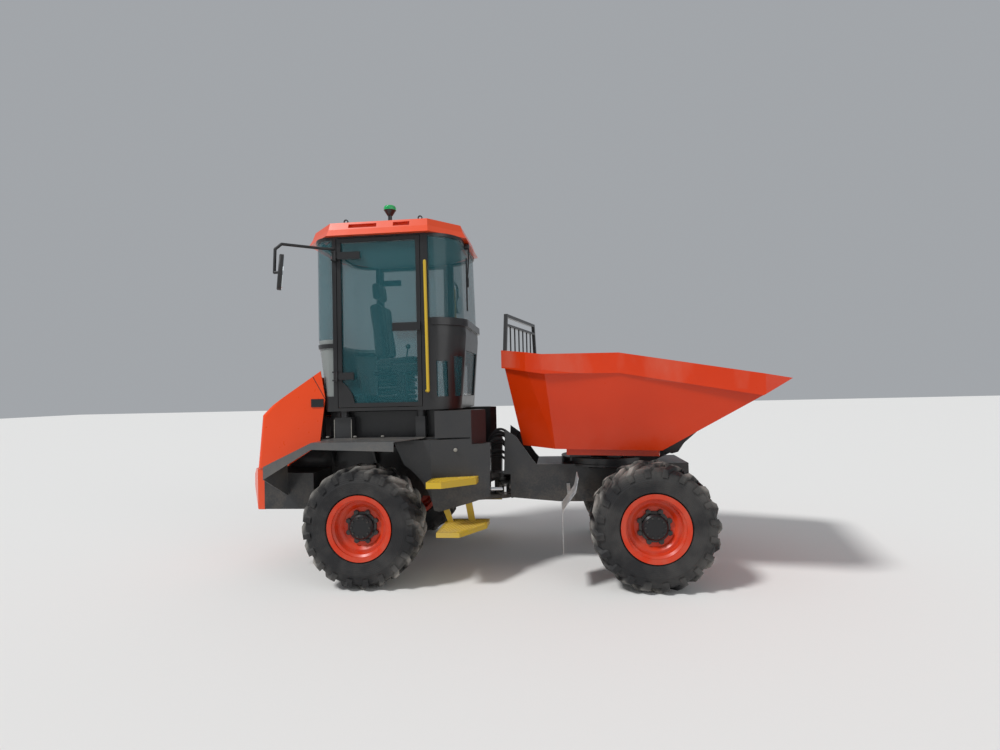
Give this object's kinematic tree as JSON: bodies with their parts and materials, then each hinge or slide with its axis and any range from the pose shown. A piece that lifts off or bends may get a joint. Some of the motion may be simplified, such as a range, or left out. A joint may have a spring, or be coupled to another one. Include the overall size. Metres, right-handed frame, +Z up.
{
  "type": "site dumper",
  "caption": "Articulated site dumper with enclosed cab, rear hood and a swivel tipping skip on a turntable, driven on cleated tyres.",
  "frame": {"origin": "on the ground under the middle of the machine's length, on the rear frame's centreline", "axes": "+X forwards from hood to skip, +Y to the operator's left, +Z up"},
  "size_m": [5.146, 2.4484, 3.434],
  "materials": {
    "orange_paint": "satin",
    "black_paint": "satin",
    "yellow_paint": "satin",
    "engine_paint": "satin",
    "zinc_plate": "matte",
    "bare_steel": "satin",
    "chrome_rod": "gloss",
    "tyre_rubber": "matte",
    "rubber_black": "matte",
    "plastic_black": "matte",
    "seat_fabric": "matte",
    "glass": "gloss",
    "lens_green": "gloss",
    "lamp_red": "gloss"
  },
  "bodies": {
    "rear_frame": {"rear_chassis": "black_paint", "rear_axle": "black_paint", "engine_block": "engine_paint", "rear_bumper": "orange_paint", "rear_lamps": "lamp_red", "mudguards": "black_paint", "side_tanks": "black_paint", "steps": "yellow_paint", "cab_floor": "rubber_black", "cab_frame": "black_paint", "cab_roof": "orange_paint", "roof_fittings": "black_paint", "beacon_dome": "lens_green", "front_glass": "glass", "rear_glass": "glass", "seat": "seat_fabric", "steering_console": "plastic_black", "grab_rails": "yellow_paint", "mirrors": "plastic_black"},
    "steering_wheel": {"steering_wheel": "plastic_black"},
    "door_right": {"door_right": "black_paint", "door_glass_right": "glass"},
    "door_left": {"door_left": "black_paint", "door_glass_left": "glass"},
    "hood": {"hood": "orange_paint"},
    "centre_pivot": {"centre_pivot": "bare_steel"},
    "front_frame": {"front_chassis": "black_paint", "front_axle": "black_paint", "splash_guards": "zinc_plate"},
    "turntable": {"turntable": "black_paint"},
    "tip_barrel": {"tip_barrel": "black_paint"},
    "tip_rod": {"tip_rod": "chrome_rod"},
    "steering_barrel": {"steering_barrel": "black_paint"},
    "steering_rod": {"steering_rod": "chrome_rod"},
    "skip": {"skip": "orange_paint", "skip_brackets": "black_paint", "skip_guard": "black_paint"},
    "wheel_front_right": {"tyre_front_right": "tyre_rubber", "wheel_front_right": "orange_paint"},
    "wheel_front_left": {"tyre_front_left": "tyre_rubber", "wheel_front_left": "orange_paint"},
    "wheel_rear_right": {"tyre_rear_right": "tyre_rubber", "wheel_rear_right": "orange_paint"},
    "wheel_rear_left": {"tyre_rear_left": "tyre_rubber", "wheel_rear_left": "orange_paint"}
  },
  "joints": [
    {"name": "articulation", "type": "hinge", "parent": "rear_frame", "child": "centre_pivot", "pos_m": [-0.214, 0, 0.71], "axis": [0, 0, 1], "range_deg": [-30, 30]},
    {"name": "oscillation", "type": "hinge", "parent": "centre_pivot", "child": "front_frame", "pos_m": [-0.214, 0, 0.71], "axis": [1, 0, 0], "range_deg": [-8, 8]},
    {"name": "skip_swivel", "type": "hinge", "parent": "front_frame", "child": "turntable", "pos_m": [0.816, 0, 0.96], "axis": [0, 0, 1], "range_deg": [-77, 103]},
    {"name": "skip_tip", "type": "hinge", "parent": "turntable", "child": "skip", "pos_m": [1.45908, -0.14847, 1.09], "axis": [0.225, 0.9744, 0], "range_deg": [0, 42]},
    {"name": "tip_barrel_turn", "type": "hinge", "parent": "turntable", "child": "tip_barrel", "pos_m": [0.59189, 0.05174, 0.8], "axis": [0.225, 0.9744, 0], "range_deg": [-15.9, 0.5]},
    {"name": "tip_rod_slide", "type": "slide", "parent": "tip_barrel", "child": "tip_rod", "axis": [0.8749, -0.202, 0.4402], "range_m": [-0.002, 0.21]},
    {"name": "steering_barrel_turn", "type": "hinge", "parent": "rear_frame", "child": "steering_barrel", "pos_m": [-0.834, -0.36, 0.71], "axis": [0, 0, 1], "range_deg": [-1.5, 1.5]},
    {"name": "steering_rod_slide", "type": "slide", "parent": "steering_barrel", "child": "steering_rod", "axis": [0.9879, 0.1548, 0], "range_m": [-0.1319, 0.1319]},
    {"name": "steering_wheel_turn", "type": "hinge", "parent": "rear_frame", "child": "steering_wheel", "pos_m": [-0.854, 0, 2.33], "axis": [-0.4695, 0, 0.8829], "continuous": true},
    {"name": "door_right_hinge", "type": "hinge", "parent": "rear_frame", "child": "door_right", "pos_m": [-1.664, -0.698, 2.385], "axis": [0, 0, 1], "range_deg": [-85, 0]},
    {"name": "door_left_hinge", "type": "hinge", "parent": "rear_frame", "child": "door_left", "pos_m": [-1.664, 0.698, 2.385], "axis": [0, 0, 1], "range_deg": [0, 85]},
    {"name": "hood_hinge", "type": "hinge", "parent": "rear_frame", "child": "hood", "pos_m": [-1.934, 0, 1.775], "axis": [0, 1, 0], "range_deg": [0, 55]},
    {"name": "wheel_front_right_spin", "type": "hinge", "parent": "front_frame", "child": "wheel_front_right", "pos_m": [1.122, -0.91, 0.52], "axis": [0, 1, 0], "continuous": true},
    {"name": "wheel_front_left_spin", "type": "hinge", "parent": "front_frame", "child": "wheel_front_left", "pos_m": [1.122, 0.91, 0.52], "axis": [0, 1, 0], "continuous": true},
    {"name": "wheel_rear_right_spin", "type": "hinge", "parent": "rear_frame", "child": "wheel_rear_right", "pos_m": [-1.334, -0.91, 0.52], "axis": [0, 1, 0], "continuous": true},
    {"name": "wheel_rear_left_spin", "type": "hinge", "parent": "rear_frame", "child": "wheel_rear_left", "pos_m": [-1.334, 0.91, 0.52], "axis": [0, 1, 0], "continuous": true}
  ],
  "couplings": [
    {"joint": "tip_barrel_turn", "follows": "skip_tip", "ratio": -0.3672},
    {"joint": "tip_rod_slide", "follows": "skip_tip", "m_per_rad": 0.28374},
    {"joint": "steering_barrel_turn", "follows": "articulation", "ratio": -0.00501},
    {"joint": "steering_rod_slide", "follows": "articulation", "m_per_rad": 0.24812}
  ]
}
